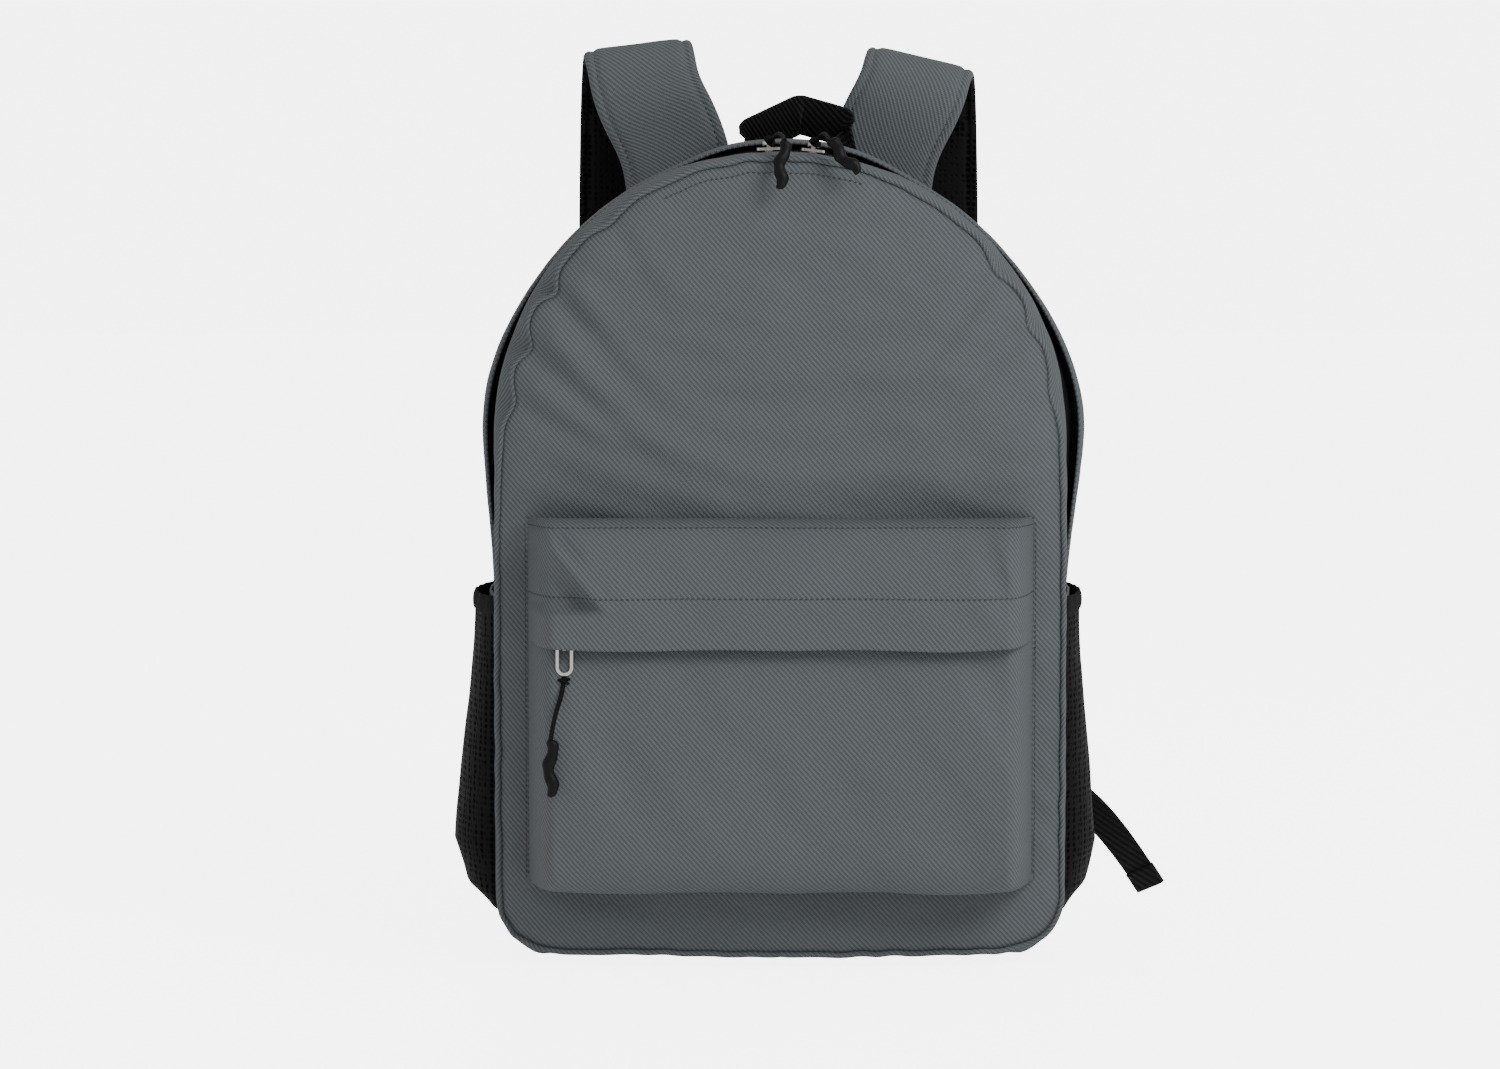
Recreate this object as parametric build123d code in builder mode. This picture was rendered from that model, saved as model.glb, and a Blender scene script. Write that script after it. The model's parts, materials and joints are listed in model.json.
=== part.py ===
from build123d import *
from math import atan2, cos, degrees, pi, radians, sin, sqrt, tan
import os

# Daypack standing on its base. Front faces -Y, wearer's side +Y, +Z up.
# The origin is the centre of the flat underside.

# Overall size
body_width = 300.0
body_height = 430.0
body_depth = 124.0
front_crown = 15.0
corner_radius = 38.0
wall = 2.4
part_gap = 0.6
touch_gap = 0.3

# Main zip round the arch
zip_y = -34.0
zip_bottom = 196.0
coil_gap = 1.6
coil_width = 1.4
coil_height = 2.4
tape_width = 12.0
tape_thick = 0.9
slider_length = 13.0
slider_width = 8.0
slider_plate = 1.4
slider_clear = 0.8
slider_drop = 1.5
left_slider_x = -6.0
right_slider_x = 17.0

# Front pocket
pocket_width = 268.0
pocket_top = 235.0
pocket_bottom = 44.0
pocket_bulge = 36.0
pocket_zip_z = 179.0
flap_top = 196.0
flap_bottom = 168.0
flap_thick = 1.4
pocket_slider_inset = 22.0
lid_clear = 5.0

# Side pockets
side_pocket_top = 197.0
side_pocket_bottom = 27.0
side_pocket_chord = 92.0
side_pocket_bulge = 21.0
mesh_thick = 1.2

# Shoulder straps
strap_width = 60.0
strap_rise = 49.0
strap_base_x = 53.0
strap_crest_x = 74.0
strap_bottom = 152.0
fabric_thick = 1.2
foam_thick = 6.4
spacer_thick = 2.4

# Webbing
webbing_width = 24.0
webbing_thick = 1.6
lower_webbing = 20.0

# Cord pulls
cord_d = 2.4
grip_d = 5.2

half_width = body_width / 2
pocket_slider_x = pocket_slider_inset - pocket_width / 2
lid_split = pocket_top + lid_clear
arch_z = body_height - half_width
front_y = -body_depth / 2
back_y = body_depth / 2
front_apex = front_y - front_crown
crown_radius = (half_width**2 + front_crown**2) / (2 * front_crown)
crown_centre = front_apex + crown_radius


def arch_outline(inset, mode=Mode.ADD):
    half = half_width - inset
    r = corner_radius - inset
    with BuildLine() as outline:
        Line((-half + r, inset), (half - r, inset))
        CenterArc((half - r, inset + r), r, -90, 90)
        Line((half, inset + r), (half, arch_z))
        CenterArc((0, arch_z), half, 0, 180)
        Line((-half, arch_z), (-half, inset + r))
        CenterArc((-half + r, inset + r), r, 180, 90)
    make_face(outline.edges(), mode=mode)


def arch_ring(outer, inner, front, back):
    with BuildSketch(Plane.XZ.offset(-back)) as band:
        arch_outline(outer)
        arch_outline(inner, Mode.SUBTRACT)
    extrude(band.sketch, amount=back - front)


def crown_trim(clear):
    with BuildSketch(Plane.XY) as crown:
        with Locations((0, crown_centre)):
            Circle(crown_radius - clear)
    extrude(crown.sketch, amount=body_height + 20, mode=Mode.INTERSECT)


def above(z):
    split(bisect_by=Plane.XY.offset(z), keep=Keep.TOP)


def below(z):
    split(bisect_by=Plane.XY.offset(z), keep=Keep.BOTTOM)


def save(part, label):
    part.label = label
    export_step(part, f"parts/{label}.step")


os.makedirs("parts", exist_ok=True)

# Padded front panel, crowned about a vertical cylinder, in two: the lid's and the fixed one
with BuildPart() as front_panel:
    with BuildSketch(Plane.XZ.offset(-front_y - 8)):
        arch_outline(0)
    extrude(amount=front_crown + 10)
    crown_trim(0)
    with BuildSketch(Plane.XY):
        with Locations((0, crown_centre)):
            Circle(crown_radius - wall)
    extrude(amount=body_height + 20, mode=Mode.SUBTRACT)
with BuildPart() as front_panel_upper:
    add(front_panel.part)
    above(lid_split + part_gap / 2)
save(front_panel_upper.part, "front_panel_upper")
with BuildPart() as front_panel_lower:
    add(front_panel.part)
    below(lid_split - part_gap / 2)
save(front_panel_lower.part, "front_panel_lower")

# Front gusset between the front seam and the zip tape
front_tape_edge = zip_y - tape_width
rear_tape_edge = zip_y + tape_width
panel_back = back_y - wall
with BuildPart() as front_gusset:
    arch_ring(0, wall, front_apex, front_tape_edge)
    crown_trim(wall)
    above(zip_bottom)
with BuildPart() as front_gusset_upper:
    add(front_gusset.part)
    above(lid_split + part_gap / 2)
save(front_gusset_upper.part, "front_gusset_upper")
with BuildPart() as front_gusset_lower:
    add(front_gusset.part)
    below(lid_split - part_gap / 2)
save(front_gusset_lower.part, "front_gusset_lower")

# Rear gusset from the zip tape to the back panel
with BuildPart() as rear_gusset:
    arch_ring(0, wall, rear_tape_edge, panel_back)
    above(zip_bottom)
save(rear_gusset.part, "rear_gusset")

# Side panels below the zip ends, and the bottom panel with its rolled corners
with BuildPart() as lower_ring:
    arch_ring(0, wall, front_apex, panel_back)
    crown_trim(wall)
    below(zip_bottom)
with BuildPart() as bottom_panel:
    add(lower_ring.part)
    below(corner_radius)
save(bottom_panel.part, "bottom_panel")
for side, keep in (("left", Keep.BOTTOM), ("right", Keep.TOP)):
    with BuildPart() as side_panel:
        add(lower_ring.part)
        above(corner_radius)
        split(bisect_by=Plane.YZ, keep=keep)
    save(side_panel.part, f"side_panel_{side}")

# Back panel, its foam and its spacer-mesh face
with BuildPart() as back_panel:
    with BuildSketch(Plane.XZ.offset(-back_y)):
        arch_outline(0)
    extrude(amount=wall)
save(back_panel.part, "back_panel")
back_foam_thick = 5.0
with BuildPart() as back_foam:
    with BuildSketch(Plane.XZ.offset(-panel_back)):
        arch_outline(9)
    extrude(amount=back_foam_thick)
save(back_foam.part, "back_foam")
back_mesh_thick = 4.0
with BuildPart() as back_mesh:
    with BuildSketch(Plane.XZ.offset(-back_y - back_mesh_thick)):
        arch_outline(14)
    extrude(amount=back_mesh_thick)
    below(body_height - 52)
save(back_mesh.part, "back_mesh")

# Zip tapes and coils: the rear pair is one run, the front pair is cut at the lid
coil_front = zip_y - coil_gap / 2
coil_rear = zip_y + coil_gap / 2
tape_inset = (wall - tape_thick) / 2
coil_inset = (wall - coil_height) / 2
with BuildPart() as rear_tape:
    arch_ring(tape_inset, tape_inset + tape_thick, coil_rear + coil_width, rear_tape_edge)
    above(zip_bottom)
save(rear_tape.part, "zip_tape_rear")
with BuildPart() as rear_coil:
    arch_ring(coil_inset, coil_inset + coil_height, coil_rear, coil_rear + coil_width)
    above(zip_bottom)
save(rear_coil.part, "zip_coil_rear")
with BuildPart() as front_tape:
    arch_ring(tape_inset, tape_inset + tape_thick, front_tape_edge, coil_front - coil_width)
    above(zip_bottom)
with BuildPart() as front_coil:
    arch_ring(coil_inset, coil_inset + coil_height, coil_front - coil_width, coil_front)
    above(zip_bottom)
for name, strip in (("zip_tape_front", front_tape), ("zip_coil_front", front_coil)):
    with BuildPart() as upper:
        add(strip.part)
        above(lid_split + part_gap / 2)
    save(upper.part, name)
    with BuildPart() as lower:
        add(strip.part)
        below(lid_split - part_gap / 2)
    save(lower.part, f"{name}_lower")

# Main sliders: an outer and an inner plate joined by a post through the coil gap
coil_mid = half_width - coil_inset - coil_height / 2
outer_plate = coil_height / 2 + slider_clear
inner_plate = coil_height / 2 + slider_drop
post_width = coil_gap - 2 * touch_gap
bridge_height = 4.0
bridge_wall = 1.0


def main_slider(x):
    angle = degrees(atan2(x, sqrt(coil_mid**2 - x**2)))
    seat = Location((0, zip_y, arch_z), (0, angle, 0))
    with BuildPart() as slider:
        with Locations((0, 0, coil_mid + outer_plate)):
            Box(slider_length, slider_width, slider_plate, align=(Align.CENTER, Align.CENTER, Align.MIN))
        with Locations((0, 0, coil_mid - inner_plate)):
            Box(slider_length, slider_width, slider_plate, align=(Align.CENTER, Align.CENTER, Align.MAX))
        with Locations((0, 0, coil_mid)):
            Box(4, post_width, outer_plate + inner_plate + 1)
        fillet(slider.edges().filter_by(Axis.Z).filter_by(lambda e: abs(e.center().Y) > 2), 2.2)
        with Locations((0, 0, coil_mid + outer_plate + slider_plate)):
            Box(2, 6, bridge_height, align=(Align.CENTER, Align.CENTER, Align.MIN))
            Box(2, 6 - 2 * bridge_wall, bridge_height - bridge_wall,
                align=(Align.CENTER, Align.CENTER, Align.MIN), mode=Mode.SUBTRACT)
    return slider.part.moved(seat)


save(main_slider(left_slider_x), "main_slider_left")
save(main_slider(right_slider_x), "main_slider_right")


# Cord pulls: a wire ring in the slider's bridge, a looped cord and a ribbed rubber grip
def print_radii(name, points):
    lengths = [(b - a).length for a, b in zip(points, points[1:])]
    for i in range(1, len(points) - 1):
        turn = radians((points[i] - points[i - 1]).get_angle(points[i + 1] - points[i]))
        radius = 0.45 * min(lengths[i - 1], lengths[i]) / tan(turn / 2)
        print(f"{name} corner {i} radius {radius:.1f} mm")


def rounded_route(points):
    lengths = [(b - a).length for a, b in zip(points, points[1:])]
    radii = []
    for i in range(1, len(points) - 1):
        turn = radians((points[i] - points[i - 1]).get_angle(points[i + 1] - points[i]))
        radii.append(0.45 * min(lengths[i - 1], lengths[i]) / tan(turn / 2))
    return FilletPolyline(*points, radius=radii)


def cord(name, points):
    print_radii(name, points)
    with BuildPart() as tube:
        with BuildLine() as route:
            rounded_route(points)
        with BuildSketch(Plane(origin=route.line @ 0, z_dir=route.line % 0)):
            Circle(cord_d / 2)
        sweep()
    save(tube.part, name)


def grip(name, start, end):
    along = end - start
    with BuildPart() as bar:
        with BuildSketch(Plane(origin=start, z_dir=along)):
            Circle(grip_d / 2)
        extrude(amount=along.length)
        fillet(bar.edges(), 1.2)
    save(bar.part, name)


ring_wire = 1.6
ring_length = 11.0


def wire_ring(name, centre_plane, width):
    with BuildPart() as ring:
        with BuildSketch(centre_plane):
            with Locations((ring_length / 2 - ring_wire / 2, 0)):
                SlotOverall(ring_length, width)
                SlotOverall(ring_length - 2 * ring_wire, width - 2 * ring_wire, mode=Mode.SUBTRACT)
        extrude(amount=ring_wire / 2, both=True)
    save(ring.part, name)


# The main pulls lie over the front gusset and hang in front of the front seam
eye_height = coil_mid + outer_plate + slider_plate + (bridge_height - bridge_wall) / 2
ring_width = 6.4
for side, slider_x, way, hang, sway, drop in (
    ("left", left_slider_x, -1, 2, 3, 28), ("right", right_slider_x, 1, 25, 15, 20),
):
    angle = atan2(slider_x, sqrt(coil_mid**2 - slider_x**2))
    eye = Vector(eye_height * sin(angle), zip_y, arch_z + eye_height * cos(angle))
    ring_plane = Plane(origin=eye, x_dir=(0, -1, 0.1), z_dir=(sin(angle), 0.1, cos(angle)))
    wire_ring(f"main_ring_{side}", ring_plane, ring_width)
    near = eye + ring_plane.x_dir * (ring_length - ring_wire / 2 + 0.2)
    top_z = body_height + 8.5
    route = [
        near,
        Vector(near.X + (hang - near.X) * 0.45, near.Y - 11, top_z),
        Vector(near.X + (hang - near.X) * 0.8, near.Y - 25, top_z + 1),
        Vector(hang, near.Y - 38, top_z - 3),
    ]
    cord(f"main_cord_{side}", route)
    tip = Vector(hang + sway * way, near.Y - 45, top_z - drop)
    grip(f"main_grip_{side}", route[-1] + (tip - route[-1]).normalized() * 1.4, tip)
    print(f"main_{side} eye", [round(c, 2) for c in eye], "route", [[round(c, 2) for c in p] for p in route])

# Front pocket: a hood above the zip and a bag below, both one wall thick
pocket_half = pocket_width / 2
zip_face = front_apex - pocket_bulge * 0.72
hood_face = zip_face - 6.0
bulge_face = front_apex - pocket_bulge
recess_top = flap_top - 1.0
recess_bottom = pocket_zip_z - 22.0
pocket_flat = pocket_half - 18
seat_y = front_apex + wall


def pocket_profile(t):
    with BuildSketch(Plane.YZ.offset(-pocket_half - 5)) as side_view:
        Polygon(
            (seat_y, pocket_top - t), (front_apex - 4 + t, pocket_top - t),
            (hood_face + 7 + t, pocket_top - 9 - t), (hood_face + t, pocket_top - 20),
            (hood_face + t, recess_top + t), (zip_face + t, recess_top + t),
            (zip_face + t, recess_bottom - t * 0.4), (bulge_face + 4 + t, recess_bottom - 26),
            (bulge_face + t, pocket_bottom + 50), (bulge_face + t, pocket_bottom + 20),
            (bulge_face + 7 + t, pocket_bottom + 8 + t * 0.5),
            (bulge_face + 16, pocket_bottom + t), (seat_y, pocket_bottom + t),
            align=None,
        )
    extrude(side_view.sketch, amount=pocket_width + 10)
    with BuildSketch(Plane.XY) as plan_view:
        Polygon(
            (-pocket_half + t, seat_y + 8), (-pocket_half + t, front_y - front_crown * 0.2 - 6),
            (-pocket_flat + t * 0.5, bulge_face - 5 + t), (pocket_flat - t * 0.5, bulge_face - 5 + t),
            (pocket_half - t, front_y - front_crown * 0.2 - 6), (pocket_half - t, seat_y + 8),
            align=None,
        )
    extrude(plan_view.sketch, amount=body_height, mode=Mode.INTERSECT)


pocket_wall = 2.0
with BuildPart() as pocket_inner:
    pocket_profile(pocket_wall)
with BuildPart() as pocket_shell:
    pocket_profile(0)
    add(pocket_inner.part, mode=Mode.SUBTRACT)
    with BuildSketch(Plane.XY):
        with Locations((0, crown_centre)):
            Circle(crown_radius)
    extrude(amount=body_height, mode=Mode.SUBTRACT)
pocket_coil = 1.4
half_tape = 9.0
with BuildPart() as pocket_hood:
    add(pocket_shell.part)
    above(pocket_zip_z + half_tape)
save(pocket_hood.part, "pocket_hood")
with BuildPart() as pocket_bag:
    add(pocket_shell.part)
    below(pocket_zip_z - half_tape)
save(pocket_bag.part, "pocket_bag")

# Closed pocket ends beside the zip
with BuildPart() as pocket_ends:
    add(pocket_shell.part)
    above(pocket_zip_z - half_tape)
    below(pocket_zip_z + half_tape)
    with Locations((0, zip_face, pocket_zip_z)):
        Box(2 * pocket_flat + 6, 40, 3 * half_tape, mode=Mode.SUBTRACT)
save(pocket_ends.part, "pocket_ends")

# Pocket zip: tapes and coils above and below the slit
zip_run = 2 * pocket_flat + 6
coil_y = zip_face + pocket_wall / 2
for name, way in (("upper", 1), ("lower", -1)):
    with BuildPart() as tape:
        inner_edge = coil_gap / 2 + pocket_coil
        with Locations((0, coil_y, pocket_zip_z + way * (inner_edge + half_tape) / 2)):
            Box(zip_run, tape_thick, half_tape - inner_edge)
    save(tape.part, f"pocket_tape_{name}")
    with BuildPart() as coil:
        with Locations((0, coil_y, pocket_zip_z + way * (coil_gap + pocket_coil) / 2)):
            Box(zip_run, coil_height, pocket_coil)
    save(coil.part, f"pocket_coil_{name}")

# Pocket slider, wire ring, cord and grip
plate_y = coil_y - outer_plate - slider_plate
pivot_z = pocket_zip_z - 1.0
peg_z = pivot_z - ring_wire
with BuildPart() as pocket_slider:
    for way in (1, -1):
        with Locations((pocket_slider_x, coil_y + way * (outer_plate + slider_plate / 2), pocket_zip_z)):
            Box(slider_length, slider_plate, slider_width)
    fillet(pocket_slider.edges().filter_by(Axis.Y), 2.2)
    with Locations((pocket_slider_x, coil_y, pocket_zip_z)):
        Box(4, 2 * outer_plate + 1, post_width)
    peg_plane = Plane(origin=(pocket_slider_x, plate_y, peg_z), x_dir=(1, 0, 0), z_dir=(0, -1, 0))
    with BuildSketch(peg_plane):
        Circle(1.2)
    extrude(amount=3.1)
    with BuildSketch(peg_plane.offset(2.5)):
        Circle(3.4)
    extrude(amount=0.7)
save(pocket_slider.part, "pocket_slider")
ring_y = plate_y - 1.3
pocket_ring_length = 20.0
with BuildPart() as pocket_ring:
    with BuildSketch(Plane.XZ.offset(-ring_y)):
        with Locations((pocket_slider_x, pivot_z + ring_wire - pocket_ring_length / 2)):
            SlotOverall(pocket_ring_length, 9, rotation=90)
            SlotOverall(
                pocket_ring_length - 2 * ring_wire,
                9 - 2 * ring_wire,
                rotation=90,
                mode=Mode.SUBTRACT,
            )
    extrude(amount=ring_wire / 2, both=True)
save(pocket_ring.part, "pocket_ring")
ring_foot = pivot_z + ring_wire - pocket_ring_length
hang_y = bulge_face - grip_d / 2 - 1.4
pocket_route = [
    Vector(pocket_slider_x, ring_y, ring_foot - 0.2),
    Vector(pocket_slider_x - 1, ring_y - 3.0, ring_foot - 9),
    Vector(pocket_slider_x - 5, hang_y + 0.5, ring_foot - 20),
    Vector(pocket_slider_x - 7, hang_y, ring_foot - 33),
]
cord("pocket_cord", pocket_route)
grip("pocket_grip", pocket_route[-1] - Vector(0, 0, 0.1), Vector(pocket_slider_x - 7, hang_y, ring_foot - 62))
print("pocket route", [[round(c, 2) for c in p] for p in pocket_route])

# Storm flap hanging over the zip from the hood
flap_y = hood_face - 0.4
with BuildPart() as pocket_flap:
    with Locations((0, flap_y, flap_top - 0.5)):
        Box(zip_run + 6, flap_thick, flap_top - flap_bottom - 1, align=(Align.CENTER, Align.MAX, Align.MAX))
    fillet(pocket_flap.edges().filter_by(Axis.Y).group_by(Axis.Z)[0], 5)
save(pocket_flap.part, "pocket_flap")
print("flap hinge", flap_y - flap_thick / 2, flap_top, "peg", ring_y, peg_z)


# Side pockets: mesh skins, open at the top, with a floor and a bound edge
def side_segment(z, chord, bulge, side):
    half = chord / 2
    face_x = half_width + touch_gap
    with BuildSketch(Plane.XY.offset(z)) as segment:
        with BuildLine():
            Line((side * face_x, -half), (side * face_x, half))
            ThreePointArc((side * face_x, -half), (side * (face_x + bulge), 0), (side * face_x, half))
        make_face()
    return segment.sketch


def side_bag(inset, side):
    chord = side_pocket_chord - 2 * inset
    bottom = side_segment(side_pocket_bottom + inset, chord, side_pocket_bulge * 0.75 - inset, side)
    belly = side_segment(side_pocket_bottom + 32, chord, side_pocket_bulge - inset, side)
    mouth = side_segment(side_pocket_top - 6, chord, side_pocket_bulge * 0.55 - inset, side)
    loft([bottom, belly, mouth], ruled=True)


for label, side in (("left", -1), ("right", 1)):
    with BuildPart() as bag_inner:
        side_bag(mesh_thick, side)
    with BuildPart() as side_pocket:
        side_bag(0, side)
        add(bag_inner.part, mode=Mode.SUBTRACT)
    save(side_pocket.part, f"side_pocket_{label}")
    with BuildPart() as binding:
        rim_bulge = side_pocket_bulge * 0.55
        rim = side_segment(side_pocket_top - 6, side_pocket_chord, rim_bulge, side)
        extrude(rim, amount=10)
        hole = side_segment(side_pocket_top - 6, side_pocket_chord - 3.2, rim_bulge - 1.6, side)
        extrude(hole, amount=10, mode=Mode.SUBTRACT)
    save(binding.part, f"side_binding_{label}")

# Grab handle: a webbing loop that stands like a tent on the top back seam
handle_y = back_y - webbing_width / 2 - 2
handle_left = -18.0
handle_right = 38.0
handle_crest = 10.0
handle_peak = body_height + 25
handle_seat = body_height + 0.8
with BuildPart() as grab_handle:
    with BuildSketch(Plane.XZ.offset(-handle_y - webbing_width / 2)):
        with BuildLine():
            FilletPolyline(
                (handle_left, handle_seat), (handle_left + 7, handle_seat + 9),
                (handle_crest - 4, handle_peak - webbing_thick),
                (handle_crest + 5, handle_peak - webbing_thick),
                (handle_right - 6, handle_seat + 9), (handle_right, handle_seat),
                radius=3.6,
            )
        trace(line_width=webbing_thick)
    extrude(amount=webbing_width)
save(grab_handle.part, "grab_handle")

# Yoke on the back panel that the straps and the handle are sewn to
with BuildPart() as yoke:
    with BuildSketch(Plane.XZ.offset(-back_y - 2.4)):
        with Locations((0, body_height - 37)):
            RectangleRounded(half_width, 26, 4)
    extrude(amount=2.4)
save(yoke.part, "strap_yoke")

# Shoulder straps: stations run up from the yoke, over the crest and down to the buckle
strap_layers = (("strap_fabric", 0, fabric_thick), ("strap_foam", fabric_thick, fabric_thick + foam_thick),
                ("strap_mesh", fabric_thick + foam_thick, fabric_thick + foam_thick + spacer_thick))
strap_y = back_y + 3.2
crest_z = body_height + strap_rise
strap_back = back_y + 52
anchor_z = body_height - 6


def strap_stations(side):
    mid_y = (strap_y + strap_back) / 2
    reach = (strap_back - strap_y) / 2
    shoulder = crest_z - reach
    foot_x = strap_crest_x + 6
    return [
        (strap_base_x, strap_y, anchor_z, 90),
        (strap_crest_x - 5, mid_y - reach, shoulder, 90),
        (strap_crest_x - 1, mid_y - reach * cos(pi / 4), shoulder + reach * sin(pi / 4), 45),
        (strap_crest_x, mid_y, crest_z, 0),
        (strap_crest_x + 1, mid_y + reach * cos(pi / 4), shoulder + reach * sin(pi / 4), -45),
        (strap_crest_x + 2, mid_y + reach, shoulder, -90),
        (foot_x, strap_back - 4, strap_bottom + 130, -90),
        (foot_x, strap_back - 12, strap_bottom, -90),
    ]


def strap_layer(near, far, side):
    sections = []
    for x, y, z, pitch in strap_stations(side):
        run = Vector(0, cos(radians(pitch)), sin(radians(pitch)))
        with BuildSketch(Plane(origin=(side * x, y, z), x_dir=(1, 0, 0), z_dir=run)) as section:
            with Locations((0, (near + far) / 2)):
                Rectangle(strap_width, far - near - 0.02)
        sections.append(section.sketch)
    loft(sections, ruled=True)


for label, side in (("left", -1), ("right", 1)):
    for layer, near, far in strap_layers:
        with BuildPart() as strap:
            strap_layer(near, far, side)
        save(strap.part, f"{layer}_{label}")

# Ladder locks below the straps, the webbing from the wings and its free tails
lock_width = 32.0
lock_height = 26.0
lock_thick = 4.0
lock_x = strap_crest_x + 6
lock_y = strap_back - 12 - 5
lock_top = strap_bottom - 0.4
wing_z = 52.0
for label, side in (("left", -1), ("right", 1)):
    with BuildPart() as ladder_lock:
        with Locations((side * lock_x, lock_y, lock_top - lock_height / 2)):
            Box(lock_width, lock_thick, lock_height)
            for offset_z in (7, 0, -7):
                with Locations((0, 0, offset_z)):
                    Box(lock_width - 8, lock_thick, 3.4, mode=Mode.SUBTRACT)
    save(ladder_lock.part, f"ladder_lock_{label}")
    with BuildPart() as wing:
        with BuildSketch(Plane.XZ.offset(-back_y - wall - 0.1)):
            Polygon(
                (side * (half_width - 13), wing_z - 30), (side * (half_width + 12), wing_z - 12),
                (side * (half_width + 12), wing_z + 12), (side * (half_width - 13), wing_z + 34),
                align=None,
            )
        extrude(amount=wall)
    save(wing.part, f"strap_wing_{label}")
    with BuildPart() as lower:
        foot = Vector(side * lock_x, lock_y - lock_thick / 2 - 1.5, lock_top - lock_height - 0.8)
        root = Vector(side * (half_width + 8), back_y + wall + 2.0, wing_z)
        run = foot - root
        across = run.cross(Vector(0, 1, 0)).normalized()
        for spot in (root, foot):
            with BuildSketch(Plane(origin=spot, x_dir=across, z_dir=run)):
                Rectangle(lower_webbing, webbing_thick)
        loft(ruled=True)
    save(lower.part, f"lower_webbing_{label}")


# Free webbing tails below the ladder locks
def tail(name, side, spots):
    points = [Vector(side * x, y, z) for x, y, z in spots]
    sections = []
    for i, point in enumerate(points):
        run = points[min(i + 1, len(points) - 1)] - points[max(i - 1, 0)]
        across = Vector(0, 1, 0).cross(run).normalized()
        with BuildSketch(Plane(origin=point, x_dir=across, z_dir=run)) as section:
            Rectangle(lower_webbing, webbing_thick)
        sections.append(section.sketch)
    with BuildPart() as strip:
        loft(sections, ruled=True)
    save(strip.part, name)
    print(name, [[round(c, 2) for c in p] for p in points])


tail_y = lock_y + lock_thick / 2 + 1.4
tail_top = (lock_x, tail_y, lock_top - 12)
tail("webbing_tail_right", 1, (
    tail_top, (lock_x + 14, tail_y + 3, lock_top - 30), (half_width - 20, tail_y - 2, 92),
    (half_width + 20, tail_y - 12, 68), (half_width + 44, tail_y - 16, 42),
    (half_width + 60, tail_y - 16, 17),
))
tail("webbing_tail_left", -1, (
    tail_top, (lock_x + 3, tail_y + 2, lock_top - 34), (lock_x + 14, tail_y + 4, 90),
    (lock_x + 24, tail_y + 6, 58), (lock_x + 30, tail_y + 8, 20),
))
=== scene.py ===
import json
import math

import bmesh
import bpy
import numpy as np
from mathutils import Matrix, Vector, noise


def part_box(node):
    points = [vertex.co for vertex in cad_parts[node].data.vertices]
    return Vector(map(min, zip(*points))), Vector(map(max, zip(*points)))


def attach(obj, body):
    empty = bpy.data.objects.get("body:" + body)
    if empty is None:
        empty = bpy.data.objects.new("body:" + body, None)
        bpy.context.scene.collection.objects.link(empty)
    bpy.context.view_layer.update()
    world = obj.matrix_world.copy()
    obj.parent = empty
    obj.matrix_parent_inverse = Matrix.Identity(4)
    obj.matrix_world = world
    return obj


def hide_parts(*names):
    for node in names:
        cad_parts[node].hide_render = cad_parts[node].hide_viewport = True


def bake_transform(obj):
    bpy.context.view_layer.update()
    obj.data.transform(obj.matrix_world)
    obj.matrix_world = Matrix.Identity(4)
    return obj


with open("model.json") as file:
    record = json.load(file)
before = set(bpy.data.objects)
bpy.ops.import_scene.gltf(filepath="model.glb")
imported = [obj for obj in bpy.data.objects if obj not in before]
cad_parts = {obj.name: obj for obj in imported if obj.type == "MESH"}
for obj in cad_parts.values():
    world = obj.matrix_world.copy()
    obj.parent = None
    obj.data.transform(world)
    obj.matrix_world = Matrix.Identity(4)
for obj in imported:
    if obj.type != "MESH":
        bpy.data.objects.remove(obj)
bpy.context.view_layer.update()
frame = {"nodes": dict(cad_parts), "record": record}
print("frame loaded")

mm = 0.001

# Shape values read from the frame
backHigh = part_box("back_panel")[1]
halfWidth = backHigh[0]
archZ = backHigh[2] - halfWidth
backY = backHigh[1]
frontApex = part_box("front_panel_lower")[0][1]
frontCrown = 15 * mm
crownRadius = (halfWidth**2 + frontCrown**2) / (2 * frontCrown)
cornerRadius = 38 * mm
zipY = (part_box("zip_coil_rear")[0][1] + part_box("zip_coil_front")[1][1]) / 2
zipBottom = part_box("zip_coil_rear")[0][2]
tapeWidth = 12 * mm
rootBody = "shell"
sides = (("left", -1), ("right", 1))


# Camera at the front, a little above the middle of the pack
cameraView = {"target": (-16 * mm, -60 * mm, 229 * mm), "distance": 2.3, "elevation": 5.0, "width": 0.79}


def makeCamera(view):
    target = Vector(view["target"])
    lift = math.radians(view["elevation"])
    data = bpy.data.cameras.new("camera")
    data.lens = 36 * view["distance"] / view["width"]
    camera = bpy.data.objects.new("camera", data)
    camera.location = target + view["distance"] * Vector((0, -math.cos(lift), math.sin(lift)))
    camera.rotation_euler = (target - camera.location).to_track_quat("-Z", "Y").to_euler()
    bpy.context.collection.objects.link(camera)
    bpy.context.scene.camera = camera


makeCamera(cameraView)
print("camera placed")


# Colours and node materials
def linear(code):
    parts = [int(code[i : i + 2], 16) / 255 for i in (1, 3, 5)]
    return [c / 12.92 if c <= 0.04045 else ((c + 0.055) / 1.055) ** 2.4 for c in parts] + [1.0]


def addNode(tree, kind, settings, links):
    node = tree.nodes.new(kind)
    for name, value in settings.items():
        if hasattr(node, name):
            setattr(node, name, value)
        else:
            node.inputs[name].default_value = value
    for name, source in links.items():
        key = int(name) if name.isdigit() else name
        tree.links.new(source, node.inputs[key])
    return node


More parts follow.
